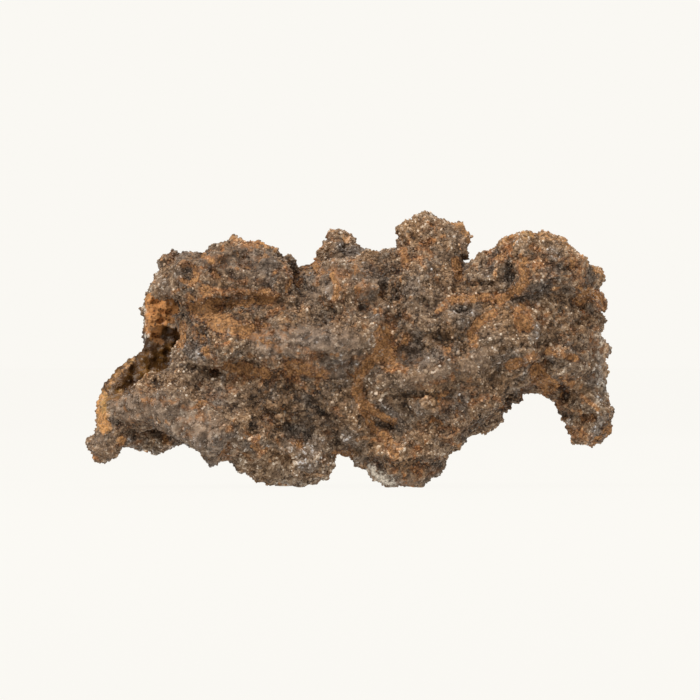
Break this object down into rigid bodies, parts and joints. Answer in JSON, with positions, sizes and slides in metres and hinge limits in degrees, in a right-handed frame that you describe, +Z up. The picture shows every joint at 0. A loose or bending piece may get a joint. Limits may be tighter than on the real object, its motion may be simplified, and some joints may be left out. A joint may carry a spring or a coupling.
{
  "type": "fulgurite",
  "caption": "Crumpled hollow tube of lightning-fused sand lying on its side, with a gaping mouth, knobby folds, two low bellies and a hooked leg.",
  "frame": {"origin": "on the surface that the tube rests on, under the middle of its box", "axes": "+Z up, +X along the tube from its open mouth towards its hooked leg, -Y out of the side with the long folds"},
  "size_m": [0.0604, 0.0254, 0.0312],
  "materials": {
    "sandy_glass": "matte, gritty crust of fused sand grains with rust-coloured clay in its grooves and brown glass inside its mouth"
  },
  "bodies": {
    "root": {"fulgurite": "sandy_glass"}
  },
  "joints": []
}
